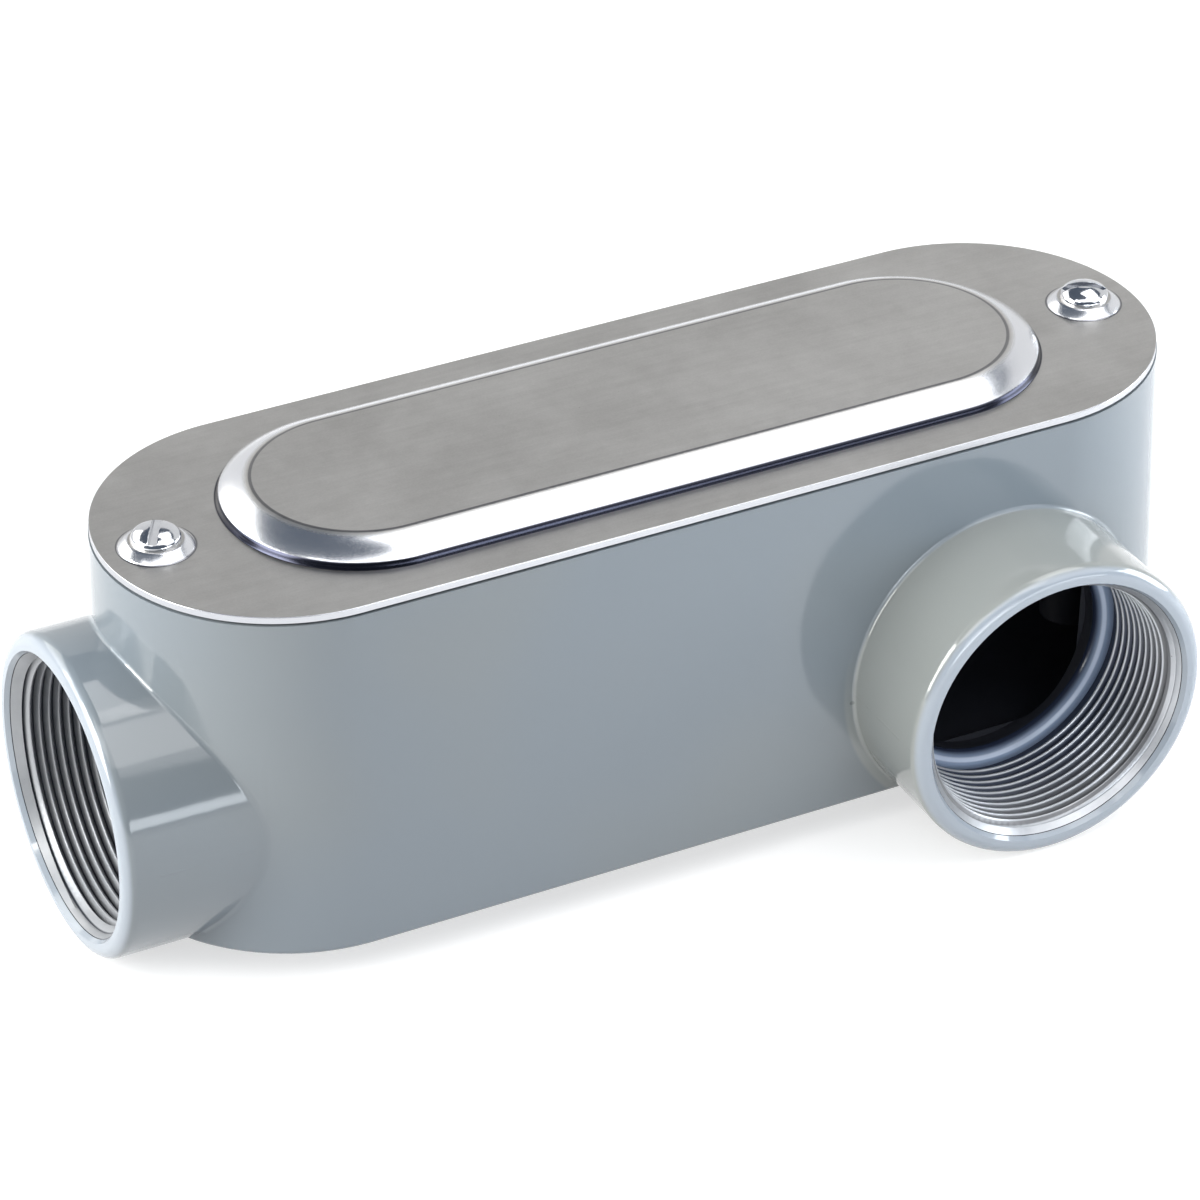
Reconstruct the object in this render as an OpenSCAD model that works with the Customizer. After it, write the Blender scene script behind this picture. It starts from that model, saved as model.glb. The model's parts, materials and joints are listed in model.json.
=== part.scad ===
// Conduit body for 2 inch trade size pipe: a cast housing with one threaded hub on its end
// and one on its side, closed by a stamped cover that two slotted screws clamp on a gasket.
// Sizes are in millimetres. The housing lies on its back with the cover on top, the end hub
// points to -X and the side hub to -Y. The origin is under the middle of the whole part.

/* [Housing] */
// Distance between the centres of the two round ends
end_spacing = 164.2; // [150:0.1:200]
// Width across the rim, under the cover
rim_w = 80.4; // [76:0.1:90]
// How much farther out the wall stands at the back than at the rim, on each side
wall_draft = 1.4; // [0:0.1:2.5]
// Height from the back to the rim
body_h = 81; // [74:0.5:110]
// Wall thickness at the rim
rim_t = 3.8; // [3:0.1:5]
// How much narrower the chamber is at its floor than at the rim, on each side
core_draft = 0.7; // [0:0.1:2]
// Thickness of the back
floor_t = 3; // [2.5:0.1:5]
// Radius where the chamber's walls meet its floor
floor_corner_r = 3; // [1:0.5:6]
// Radius along the outer edge of the back
back_edge_r = 1.6; // [0.5:0.1:3]

/* [Hubs] */
// Outside diameter of both hubs
hub_d = 70.8; // [68:0.1:76]
// Height of both hub axes above the back
hub_z = 28; // [26:0.5:34]
// Distance from the middle of the body to the face of the end hub
end_reach = 134.6; // [130:0.1:150]
// Distance from the middle plane to the face of the side hub
side_reach = 67.5; // [64:0.1:80]
// Distance from the middle of the body to the side hub's axis
side_hub_x = 67; // [40:0.5:72]
// Radius on the outer edge of a hub's mouth
mouth_edge_r = 2.8; // [1:0.1:3.2]
// Diameter of the opening in a hub's face, before its chamfer narrows it
mouth_d = 63.2; // [61.5:0.1:64]
// Depth of the chamfer inside the mouth
mouth_chamfer_l = 2.2; // [1:0.1:3]
// Diameter across the roots of the pipe thread, which is that of the pipe
thread_d = 60.3; // [58:0.1:61]
// Length of the threaded wall
thread_l = 24.5; // [18:0.5:26]
// Inside diameter of the stop ring's face, behind the thread
stop_d = 56.2; // [54.5:0.1:57]
// Diameter where the stop ring's bright nose ends
stop_nose_d = 54.2; // [53:0.1:54.4]
// Length of the nose along the axis
stop_nose_l = 1.7; // [0.5:0.1:2]
// Diameter of the throat that leads into the chamber
throat_d = 51.6; // [46:0.1:52.5]
// Length of the rounded way from the nose down to the throat
throat_taper_l = 2.6; // [1:0.1:3]
// Length from the stop ring's face to the end of the throat
throat_l = 5.1; // [5:0.1:8]

/* [Cover] */
// How far the cover's edge stays inside the edge of the rim
cover_inset = 0.2; // [0:0.1:1]
// Thickness of the sheet
cover_t = 1.5; // [1:0.1:2.5]
// Distance between the centres of the raised panel's round ends
panel_spacing = 128; // [90:0.5:130]
// Width of the raised panel at its foot
panel_w = 61.2; // [50:0.1:64]
// Height of the raised panel above the sheet
panel_h = 4.8; // [2.5:0.1:6]
// Width of the panel's sloping wall, seen from above
panel_slope_w = 7.8; // [5:0.1:10]
// Radius along the upper edge of the panel
panel_edge_r = 4; // [1:0.1:4.5]
// Diameter of the raised ring round a screw, at its foot
dimple_d = 16; // [14:0.1:17]
// Diameter of the flat on which the screw's head sits
dimple_top_d = 10.8; // [9.8:0.1:12]
// Height of that flat above the sheet
dimple_h = 1; // [0.5:0.1:1.4]

/* [Gasket] */
// Thickness of the gasket
gasket_t = 0.6; // [0.4:0.1:1.5]
// How far the gasket's outer edge stays inside the cover's edge
gasket_inset = 0.9; // [0.4:0.1:1.5]

/* [Screws] */
// Distance from the end of the cover to each screw
screw_inset = 11.8; // [11:0.1:13]
// Diameter of a screw's shank
screw_d = 4.8; // [4:0.1:5.4]
// Length of the shank under the head
screw_l = 16; // [10:0.5:18]
// Diameter of the round head
head_d = 9.4; // [8:0.1:9.8]
// Height of the round head
head_h = 3.8; // [2.6:0.1:4.5]
// Width of the slot
slot_w = 1.4; // [0.8:0.1:1.8]
// Depth of the slot
slot_depth = 1.9; // [1:0.1:2.2]
// Direction of the slot in the screw beside the end hub, in degrees from +X
hub_end_slot_a = 59; // [-90:1:90]
// Direction of the slot in the screw at the plain end, in degrees from +X
plain_end_slot_a = -27; // [-90:1:90]
// Diameter of the column that a screw is driven into
column_d = 13; // [11:0.1:14]
// Depth of the tapped hole below the rim
tapped_l = 17; // [16:0.5:20]

/* [Hidden] */
$fn = 96;
// Steps in each rounded corner of an outline
corner_steps = 6;
// Length by which a cut runs past the face that it opens
overrun = 1;
// Gap round a screw's shank, in the tapped hole
shank_gap = 0.1;
// Gap round a screw's shank, in the cover and the gasket
screw_hole_gap = 0.5;

hub_r = hub_d / 2;
hub_l = mouth_chamfer_l + thread_l + throat_l;
stop_depth = mouth_chamfer_l + thread_l;
rim_r = rim_w / 2;
back_r = rim_r + wall_draft;
cover_r = rim_r - cover_inset;
gasket_z = body_h;
cover_z = gasket_z + gasket_t;
cover_top = cover_z + cover_t;
head_z = cover_top + dimple_h;
screw_x = end_spacing / 2 + cover_r - screw_inset;
tapped_r = screw_d / 2 + shank_gap;
screw_hole_r = screw_d / 2 + screw_hole_gap;
column_r = column_d / 2;
// The bulge that each hub makes under the back
hub_bulge = max(hub_r - hub_z, 0);
// Moves the middle of the whole part's base to the origin
to_origin = [
    (end_reach - end_spacing / 2 - back_r) / 2,
    (side_reach - back_r) / 2,
    hub_bulge
];

// Points of an arc about a centre, from one angle to another
function arc(centre, r, from, to) = [
    for (i = [0 : corner_steps])
        let (a = from + (to - from) * i / corner_steps)
        centre + r * [cos(a), sin(a)]
];

// Sweeps half an outline round two ends and along the straight between them.
// The outline's first axis is the distance from the middle line, its second is the height.
module round_ended(spacing) {
    for (side = [-1, 1])
        translate([side * spacing / 2, 0, 0])
            rotate_extrude()
                children();
    rotate([90, 0, 90])
        linear_extrude(spacing, center = true) {
            children();
            mirror([1, 0])
                children();
        }
}

// A plain plate with round ends
module round_ended_plate(spacing, r, t) {
    round_ended(spacing)
        square([r, t]);
}

// Turns a shape that is made along +Z from a hub's face so that it enters the body there
module at_end_hub() {
    translate([-end_reach, 0, hub_z])
        rotate([0, 90, 0])
            children();
}

module at_side_hub() {
    translate([side_hub_x, -side_reach, hub_z])
        rotate([-90, 0, 0])
            children();
}

module at_both_screws() {
    for (side = [-1, 1])
        translate([side * screw_x, 0, 0])
            children();
}

// Outside of the housing without its hubs
module body_block() {
    edge = arc([back_r - back_edge_r, back_edge_r], back_edge_r, -90, 0);
    round_ended(end_spacing)
        polygon(concat([[0, 0]], edge, [[rim_r, body_h], [0, body_h]]));
}

// Space inside the housing, open at the rim
module chamber() {
    mouth_r = rim_r - rim_t;
    floor_r = mouth_r - core_draft;
    corner = arc([floor_r - floor_corner_r, floor_t + floor_corner_r], floor_corner_r, -90, 0);
    round_ended(end_spacing)
        polygon(concat(
            [[0, floor_t]], corner,
            [[mouth_r, body_h], [mouth_r, body_h + overrun], [0, body_h + overrun]]
        ));
}

// Outside of a hub, from its face to the end of its throat
module hub_blank() {
    edge = arc([hub_r - mouth_edge_r, mouth_edge_r], mouth_edge_r, -90, 0);
    rotate_extrude()
        polygon(concat([[0, 0]], edge, [[hub_r, hub_l], [0, hub_l]]));
}

// The end of a hub's bulge under the back, where it runs out into the flat
module hub_tail() {
    tail_l = hub_bulge + floor_t;
    translate([0, 0, hub_l])
        cylinder(h = tail_l, r1 = hub_r, r2 = hub_r - tail_l);
}

// The way through a hub: chamfer, threaded wall, stop ring and throat
module hub_passage() {
    nose_depth = stop_depth + stop_nose_l;
    rotate_extrude()
        polygon([
            [0, -overrun],
            [mouth_d / 2, -overrun],
            [mouth_d / 2, 0],
            [thread_d / 2, mouth_chamfer_l],
            [thread_d / 2, stop_depth],
            [stop_d / 2, stop_depth],
            [stop_nose_d / 2, nose_depth],
            [throat_d / 2, nose_depth + throat_taper_l],
            [throat_d / 2, hub_l + overrun],
            [0, hub_l + overrun]
        ]);
}

// A column round a cover screw with the web that joins it to the end wall
module screw_column(side, from_z, to_z) {
    web_l = end_spacing / 2 + rim_r - rim_t / 2 - screw_x;
    translate([side * screw_x, 0, from_z]) {
        cylinder(h = to_z - from_z, r = column_r);
        translate([side * web_l / 2, 0, (to_z - from_z) / 2])
            cube([web_l, column_d, to_z - from_z], center = true);
    }
}

module housing() {
    color([0.58, 0.61, 0.62])
        translate(to_origin)
            difference() {
                union() {
                    difference() {
                        union() {
                            body_block();
                            at_end_hub() hub_tail();
                            at_side_hub() hub_tail();
                        }
                        chamber();
                    }
                    at_end_hub() hub_blank();
                    at_side_hub() hub_blank();
                    screw_column(-1, hub_z, body_h);
                    screw_column(1, floor_t / 2, body_h);
                }
                at_end_hub() hub_passage();
                at_side_hub() hub_passage();
                at_both_screws()
                    translate([0, 0, body_h - tapped_l])
                        cylinder(h = tapped_l + overrun, r = tapped_r);
            }
}

// Half outline of the raised panel: a slope with a rounded upper edge
function panel_outline(foot_z) =
    let (
        foot_r = panel_w / 2,
        slope_a = atan2(panel_h, panel_slope_w),
        top_r = foot_r - panel_slope_w,
        edge_back = panel_edge_r * tan(slope_a / 2)
    )
    concat(
        [[0, foot_z], [foot_r, foot_z], [foot_r, 0]],
        arc([top_r - edge_back, panel_h - panel_edge_r], panel_edge_r, 90 - slope_a, 90),
        [[0, panel_h]]
    );

// The raised panel and the two raised rings, on a plane at the sheet's upper face
module raised_forms(foot_z) {
    round_ended(panel_spacing)
        polygon(panel_outline(foot_z));
    at_both_screws()
        rotate_extrude()
            polygon([
                [0, foot_z],
                [dimple_d / 2, foot_z],
                [dimple_d / 2, 0],
                [dimple_top_d / 2, dimple_h],
                [0, dimple_h]
            ]);
}

module cover() {
    color([0.66, 0.64, 0.61])
        translate(to_origin)
            difference() {
                union() {
                    translate([0, 0, cover_z])
                        round_ended_plate(end_spacing, cover_r, cover_t);
                    translate([0, 0, cover_top])
                        raised_forms(-cover_t / 2);
                }
                translate([0, 0, cover_z])
                    raised_forms(-overrun);
                at_both_screws()
                    translate([0, 0, cover_z - overrun])
                        cylinder(h = cover_t + dimple_h + 2 * overrun, r = screw_hole_r);
            }
}

module gasket() {
    outer_r = cover_r - gasket_inset;
    inner_r = rim_r - rim_t;
    color([0.16, 0.16, 0.16])
        translate(to_origin + [0, 0, gasket_z])
            difference() {
                union() {
                    difference() {
                        round_ended_plate(end_spacing, outer_r, gasket_t);
                        translate([0, 0, -overrun])
                            round_ended_plate(end_spacing, inner_r, gasket_t + 2 * overrun);
                    }
                    for (side = [-1, 1])
                        screw_column(side, 0, gasket_t);
                }
                at_both_screws()
                    translate([0, 0, -overrun])
                        cylinder(h = gasket_t + 2 * overrun, r = screw_hole_r);
            }
}

// A round-head machine screw whose head sits on its ring of the cover
module cover_screw(side, slot_a) {
    head_r = head_d / 2;
    brim_h = head_h / 4;
    dome_h = head_h - brim_h;
    dome = [
        for (i = [0 : 2 * corner_steps])
            let (a = 90 * i / (2 * corner_steps))
            [head_r * cos(a), brim_h + dome_h * sin(a)]
    ];
    color([0.82, 0.83, 0.85])
        translate(to_origin + [side * screw_x, 0, head_z]) {
            difference() {
                rotate_extrude()
                    polygon(concat([[0, 0], [head_r, 0]], dome));
                rotate([0, 0, slot_a])
                    translate([-head_d / 2 - overrun, -slot_w / 2, head_h - slot_depth])
                        cube([head_d + 2 * overrun, slot_w, slot_depth + overrun]);
            }
            translate([0, 0, -screw_l])
                cylinder(h = screw_l, r = screw_d / 2);
        }
}

module cover_screw_hub_end() {
    cover_screw(-1, hub_end_slot_a);
}

module cover_screw_plain_end() {
    cover_screw(1, plain_end_slot_a);
}

housing();
cover();
gasket();
cover_screw_hub_end();
cover_screw_plain_end();
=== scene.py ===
# %% [markdown]
# # A cast conduit body, dressed in Blender
#
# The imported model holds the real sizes: a housing, its cover, a gasket and two screws. Here the
# plain solids of the housing, the cover and the screws are replaced by finer meshes in the same
# places, every surface gets its finish, and the part is put on a pale floor in soft light.
# The frame comes first, because every size below is read from it.

# %% Load the frame
import json
import math

import bmesh
import bpy
from mathutils import Matrix, Vector


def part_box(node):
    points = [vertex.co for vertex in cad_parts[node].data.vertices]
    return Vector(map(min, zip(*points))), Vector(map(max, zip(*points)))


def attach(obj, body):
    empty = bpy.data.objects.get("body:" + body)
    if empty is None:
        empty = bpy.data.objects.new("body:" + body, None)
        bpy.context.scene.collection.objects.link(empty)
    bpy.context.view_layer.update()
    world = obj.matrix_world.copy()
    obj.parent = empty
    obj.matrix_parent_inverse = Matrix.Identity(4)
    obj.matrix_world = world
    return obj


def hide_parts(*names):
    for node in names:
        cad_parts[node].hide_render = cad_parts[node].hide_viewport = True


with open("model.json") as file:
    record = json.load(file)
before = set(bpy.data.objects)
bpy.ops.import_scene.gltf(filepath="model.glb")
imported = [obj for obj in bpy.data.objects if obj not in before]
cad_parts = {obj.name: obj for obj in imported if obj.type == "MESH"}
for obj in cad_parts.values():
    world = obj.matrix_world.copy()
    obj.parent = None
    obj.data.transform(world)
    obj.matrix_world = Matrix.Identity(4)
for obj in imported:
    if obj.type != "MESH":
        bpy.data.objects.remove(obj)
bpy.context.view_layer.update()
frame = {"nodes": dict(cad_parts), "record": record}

MM = 0.001

# %% [markdown]
# ## Sizes that come from the frame
#
# The cover's box gives the middle of the body and the radius of its round ends. The two pipe
# threads are mounts in the record, so their axes are read there. What the frame doesn't say,
# such as the thickness of the sheet, is a named size in millimetres.

# %% Read the main sizes
housing_low, housing_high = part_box("housing")
cover_low, cover_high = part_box("cover")
mounts = {m["name"]: m for m in frame["record"]["mounts"]}
end_axis_point = Vector(mounts["end_hub"]["pos_m"])
side_axis_point = Vector(mounts["side_hub"]["pos_m"])

MIDDLE = Vector(((cover_low.x + cover_high.x) / 2, (cover_low.y + cover_high.y) / 2, 0))
cover_r = (cover_high.y - cover_low.y) / 2
end_x = (cover_high.x - cover_low.x) / 2 - cover_r
back_r = housing_high.x - MIDDLE.x - end_x
rim_r = cover_r + 0.2 * MM
rim_z = housing_high.z
hub_r = end_axis_point.z
back_z = 7.4 * MM
thread_r = mounts["end_hub"]["dims"]["r_mm"] * MM
print("half distance of the end centres:", round(end_x / MM, 2), "mm")
print("hub radius:", round(hub_r / MM, 2), "mm")

# %% [markdown]
# ## Working by hand, in code
#
# Blender's operators act on what is selected. So a few small helpers come first: one deselects
# everything, one selects the given objects, one opens a mesh for editing with only the chosen
# faces, edges or vertices selected, and one applies a modifier as soon as it is set.

# %% Helpers for selecting and applying
def deselect_all():
    if bpy.context.object and bpy.context.object.mode != "OBJECT":
        bpy.ops.object.mode_set(mode="OBJECT")
    bpy.ops.object.select_all(action="DESELECT")


def select(*objects):
    deselect_all()
    for o in objects:
        o.select_set(True)
    bpy.context.view_layer.objects.active = objects[-1]


def pick(obj, kind, test):
    """Opens obj in edit mode with only the faces, edges or verts selected that pass the test."""
    select(obj)
    bpy.ops.object.mode_set(mode="EDIT")
    bpy.ops.mesh.select_mode(type={"faces": "FACE", "edges": "EDGE", "verts": "VERT"}[kind])
    bpy.ops.mesh.select_all(action="DESELECT")
    mesh = bmesh.from_edit_mesh(obj.data)
    found = [item for item in getattr(mesh, kind) if test(item)]
    for item in found:
        item.select_set(True)
    mesh.select_flush_mode()
    bmesh.update_edit_mesh(obj.data)
    return len(found)


def leave_edit():
    bpy.ops.object.mode_set(mode="OBJECT")


def apply(obj, kind, **settings):
    """Adds a modifier, sets it and applies it at once."""
    select(obj)
    modifier = obj.modifiers.new(kind.lower(), kind)
    for name, value in settings.items():
        setattr(modifier, name, value)
    bpy.ops.object.modifier_apply(modifier=modifier.name)


def rename(name):
    obj = bpy.context.object
    obj.name = obj.data.name = name
    return obj


# %% [markdown]
# ## Round first, then pulled apart
#
# The body, its chamber, the cover and its raised panel all have straight sides and round ends.
# The easy way to such a shape is to make it round, with all its drafts and edges, and then to
# pull its two halves apart. No vertex may sit on the dividing line, so the circle is turned by
# half a step first.

# %% Pull the halves of a round shape apart
ROUND = 96


def pull_apart(obj, half):
    """Moves the +X half of a round mesh by half and the -X half by minus half."""
    for side in (-1, 1):
        pick(obj, "verts", lambda v: v.co.x * side > 0)
        bpy.ops.transform.translate(value=(side * half, 0, 0))
        leave_edit()


def place(obj, where):
    """Puts the mesh at a place and leaves the object itself at the origin, unturned."""
    obj.location = where
    select(obj)
    bpy.ops.object.transform_apply(location=True, rotation=True, scale=True)
    return obj


def round_block(name, foot_r, top_r, foot_z, top_z, foot_edge_r):
    """A block with a round foot edge, drafted from foot_r to top_r, still round."""
    deselect_all()
    bpy.ops.mesh.primitive_cone_add(
        vertices=ROUND, radius1=foot_r, radius2=top_r, depth=top_z - foot_z,
        location=(0, 0, (foot_z + top_z) / 2), rotation=(0, 0, math.pi / ROUND),
    )
    obj = rename(name)
    place(obj, obj.location)
    pick(obj, "faces", lambda f: f.normal.z < -0.9)
    bpy.ops.mesh.select_mode(type="EDGE")
    bpy.ops.mesh.region_to_loop()
    bpy.ops.mesh.bevel(offset=foot_edge_r, segments=5, affect="EDGES")
    leave_edit()
    return obj


# %% [markdown]
# ## The outside of the casting
#
# A foundry makes an outside and a core. The outside is a drafted block with round ends, and two
# plain round hubs that grow out of it. The hubs are wider than their axis is high, so they bulge
# a little below the flat back and run out into it in a short cone.

# %% Body and hub blanks
body = round_block("body_outside", back_r, rim_r, back_z, rim_z, 1.6 * MM)
pull_apart(body, end_x)
place(body, MIDDLE)

HUB_STEPS = 112
chamfer_l = 2.2 * MM
thread_l = mounts["end_hub"]["dims"]["length_mm"] * MM
throat_l = 5.1 * MM
hub_l = chamfer_l + thread_l + throat_l
tail_l = back_z + 3 * MM
mouth_edge_r = 2.8 * MM


def grow(length, radius_from, radius_to):
    """Extrudes the selected end face by a length along +Z and scales it to its new radius."""
    bpy.ops.mesh.extrude_region_move(TRANSFORM_OT_translate={"value": (0, 0, length)})
    share = radius_to / radius_from
    bpy.ops.transform.resize(value=(share, share, 1), center_override=(0, 0, 0))


def hub_outside(name):
    """A hub's outside, made along +Z from its face at the origin."""
    deselect_all()
    bpy.ops.mesh.primitive_cylinder_add(
        vertices=HUB_STEPS, radius=hub_r, depth=hub_l, location=(0, 0, hub_l / 2),
        rotation=(0, 0, math.pi / HUB_STEPS),
    )
    obj = rename(name)
    place(obj, obj.location)
    pick(obj, "faces", lambda f: f.normal.z < -0.9)
    bpy.ops.mesh.select_mode(type="EDGE")
    bpy.ops.mesh.region_to_loop()
    bpy.ops.mesh.bevel(offset=mouth_edge_r, segments=7, affect="EDGES")
    leave_edit()
    pick(obj, "faces", lambda f: f.normal.z > 0.9)
    grow(tail_l, hub_r, hub_r - tail_l)
    leave_edit()
    return obj


end_mouth = Vector((housing_low.x, end_axis_point.y, end_axis_point.z))
side_mouth = Vector((side_axis_point.x, housing_low.y, side_axis_point.z))
INTO_END = Matrix.Rotation(math.radians(90), 4, "Y")
INTO_SIDE = Matrix.Rotation(math.radians(-90), 4, "X")
HUBS = {"end": (end_mouth, INTO_END), "side": (side_mouth, INTO_SIDE)}


def set_into(obj, hub):
    """Turns a shape that is made along +Z so that it enters the body at a hub."""
    mouth, turn = HUBS[hub]
    obj.matrix_world = Matrix.Translation(mouth) @ turn
    select(obj)
    bpy.ops.object.transform_apply(location=True, rotation=True, scale=True)
    return obj


hubs = {hub: set_into(hub_outside(f"hub_{hub}"), hub) for hub in HUBS}
print("hub length with its throat:", round(hub_l / MM, 1), "mm")

# %% [markdown]
# ## One casting
#
# The hubs are joined to the body with a Boolean modifier. A cast corner is never sharp: along
# the line where a hub meets the wall there is a small fillet. The Boolean leaves that line with
# some very short edges, which would fold a bevel over itself, so its close vertices are merged
# first. Then the concave edges are found by their angle and bevelled.

# %% Join the outside and round its inner corners
casting = body
for hub in HUBS:
    apply(casting, "BOOLEAN", operation="UNION", object=hubs[hub], solver="EXACT")
    bpy.data.objects.remove(hubs[hub])

FILLET = 0.9 * MM
CLOSE = 0.6 * MM
fillet_from_z = back_z + 2.2 * MM


def is_inner_corner(edge):
    two_faces = len(edge.link_faces) == 2
    return two_faces and not edge.is_convex and edge.calc_face_angle() > math.radians(12)


pick(casting, "edges", is_inner_corner)
bpy.ops.mesh.remove_doubles(threshold=CLOSE)
leave_edit()
corner_edges = pick(
    casting, "edges", lambda e: is_inner_corner(e) and min(v.co.z for v in e.verts) > fillet_from_z
)
bpy.ops.mesh.bevel(
    offset=FILLET, segments=4, affect="EDGES", clamp_overlap=False, loop_slide=False
)
leave_edit()
print("bevelled", corner_edges, "edges where the hubs meet the body")

# %% [markdown]
# ## The core
#
# What is hollow in a casting is made by a core. Here the core is the chamber, less the two
# collars and the two screw columns that stand in it. The chamber's walls are slightly drafted
# too, so that the core could be drawn. Its mesh is cut from the casting in one go.

# %% Cut the chamber
RUN_OVER = 1 * MM
wall_t = 3.8 * MM
floor_t = 3 * MM
core_draft = 0.7 * MM
column_r = 6.5 * MM
column_top_z = rim_z + 2 * RUN_OVER
screw_x = end_x + cover_r - 11.8 * MM


def plain_cylinder(name, radius, z_from, z_to, where, steps=48):
    """An upright cylinder from z_from to z_to over the place where."""
    deselect_all()
    bpy.ops.mesh.primitive_cylinder_add(vertices=steps, radius=radius, depth=z_to - z_from)
    return place(rename(name), where + Vector((0, 0, (z_from + z_to) / 2)))


def cut(obj, tool):
    """Cuts the tool from obj and removes it."""
    apply(obj, "BOOLEAN", operation="DIFFERENCE", object=tool, solver="EXACT")
    bpy.data.objects.remove(tool)


core = round_block(
    "core", rim_r - wall_t - core_draft, rim_r - wall_t, back_z + floor_t, rim_z + RUN_OVER, 3 * MM
)
pull_apart(core, end_x)
place(core, MIDDLE)
for hub in HUBS:
    deselect_all()
    bpy.ops.mesh.primitive_cylinder_add(
        vertices=HUB_STEPS, radius=hub_r, depth=hub_l, location=(0, 0, hub_l / 2)
    )
    collar = rename("collar")
    place(collar, collar.location)
    cut(core, set_into(collar, hub))
for side, column_foot in ((-1, end_axis_point.z), (1, back_z + floor_t / 2)):
    where = MIDDLE + Vector((side * screw_x, 0, 0))
    cut(core, plain_cylinder("column", column_r, column_foot, column_top_z, where))
    web_l = end_x + rim_r - screw_x
    deselect_all()
    bpy.ops.mesh.primitive_cube_add(size=1)
    web = rename("web")
    web.scale = (web_l, 2 * column_r, column_top_z - column_foot)
    web_middle_z = (column_foot + column_top_z) / 2
    cut(core, place(web, where + Vector((side * web_l / 2, 0, web_middle_z))))
print("core faces:", len(core.data.polygons))

# %% [markdown]
# ## The way through a hub
#
# Each hub is open from its mouth to the chamber: the threaded wall, the ring on which the pipe
# stops, and a rounded throat that spares the cables. The cutter for it starts as a disc that is
# extruded stretch by stretch. Its faces carry the finish that they leave behind in the casting,
# because the Boolean can hand the cutter's materials over: bare metal where the thread is cut,
# enamel with painted light and shade on the ring and its rounded nose, and painted shade, nearly
# black, in the throat and the chamber.

# %% Materials are only named here and get their nodes further down
paint = bpy.data.materials.new("grey_enamel")
cut_metal = bpy.data.materials.new("cut_thread")
shaded_paint = bpy.data.materials.new("shaded_enamel")
dark_inside = bpy.data.materials.new("dark_inside")
HUB_FINISHES = (paint, cut_metal, shaded_paint, dark_inside)


def carve(obj, tool, operation="DIFFERENCE"):
    """Cuts the tool from obj, or joins it, and hands over the tool's materials."""
    apply(
        obj, "BOOLEAN", operation=operation, object=tool, solver="EXACT", material_mode="TRANSFER"
    )
    bpy.data.objects.remove(tool)


casting.data.materials.append(paint)
# The core gives the chamber's walls the nearly black painted shade of the inside.
core.data.materials.append(dark_inside)
carve(casting, core)

# %% Cut the passages
stop_r = 28.3 * MM
throat_r = 25.8 * MM
nose_l = 3 * MM
NOSE_STEPS = 7
TAPER = 1 / 32
stop_depth = chamfer_l + thread_l
thread_end_r = thread_r - thread_l * TAPER


def extruded(obj, radius, stretches):
    """Extrudes a disc stretch by stretch, each with the finish that it leaves behind."""
    for material in HUB_FINISHES:
        obj.data.materials.append(material)
    pick(obj, "faces", lambda f: True)
    for length, next_radius, material in stretches:
        grow(length, radius, next_radius)
        radius = next_radius
        mesh = bmesh.from_edit_mesh(obj.data)
        end_cap = next(f for f in mesh.faces if f.select)
        for face in {f for e in end_cap.edges for f in e.link_faces}:
            face.material_index = HUB_FINISHES.index(material)
    bpy.ops.mesh.select_all(action="SELECT")
    bpy.ops.mesh.normals_make_consistent(inside=False)
    leave_edit()
    return obj


def passage():
    """The cutter for a hub's way through, along +Z from in front of its face."""
    deselect_all()
    start_r = thread_r + (RUN_OVER + chamfer_l) * TAPER
    bpy.ops.mesh.primitive_circle_add(
        vertices=HUB_STEPS, radius=start_r, fill_type="NGON", location=(0, 0, -RUN_OVER),
        rotation=(0, 0, math.pi / HUB_STEPS),
    )
    obj = rename("passage")
    place(obj, obj.location)
    stretches = [(RUN_OVER + stop_depth, thread_end_r, cut_metal), (0, stop_r, shaded_paint)]
    for step in range(1, NOSE_STEPS + 1):
        before, turn = ((step - i) / NOSE_STEPS * math.pi / 2 for i in (1, 0))
        length = nose_l * (math.cos(before) - math.cos(turn))
        radius = stop_r - (stop_r - throat_r) * math.sin(turn)
        stretches.append((length, radius, shaded_paint))
    stretches.append((hub_l - stop_depth - nose_l + RUN_OVER, throat_r, dark_inside))
    return extruded(obj, start_r, stretches)


for hub in HUBS:
    carve(casting, set_into(passage(), hub))
print("casting faces with its core and passages cut:", len(casting.data.polygons))

# %% [markdown]
# ## The pipe thread
#
# A real helix shows in both mouths, so it is modelled. The ridge between two turns of the groove
# is drawn as a small outline with a rounded crest, and the Screw modifier sweeps it round the
# axis, 11.5 turns to the inch. A pipe thread narrows by one part in sixteen, so its vertices are
# moved in with depth, and both ends of the ridge sink into the wall, as a tap leaves them. The
# ridge is joined to the wall. Last a countersink opens the mouth: an enamelled edge, a thin
# scribed line that is painted dark as shade, and a bare cone.

# %% Sweep, taper and join the thread
PITCH = 25.4 * MM / 11.5
CREST = 1.5 * MM
CREST_POINTS = ((0.12 * MM, 0.24 * MM), (0.03 * MM, 0.13 * MM))
SUNK = 0.1 * MM
SHOWN_AT_END = 0.02
ridge_half = PITCH / 2 - 0.07 * MM
ridge_start = {"end": 1.92 * MM, "side": 1.25 * MM}
RUN_OUT_STEPS = 16


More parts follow.
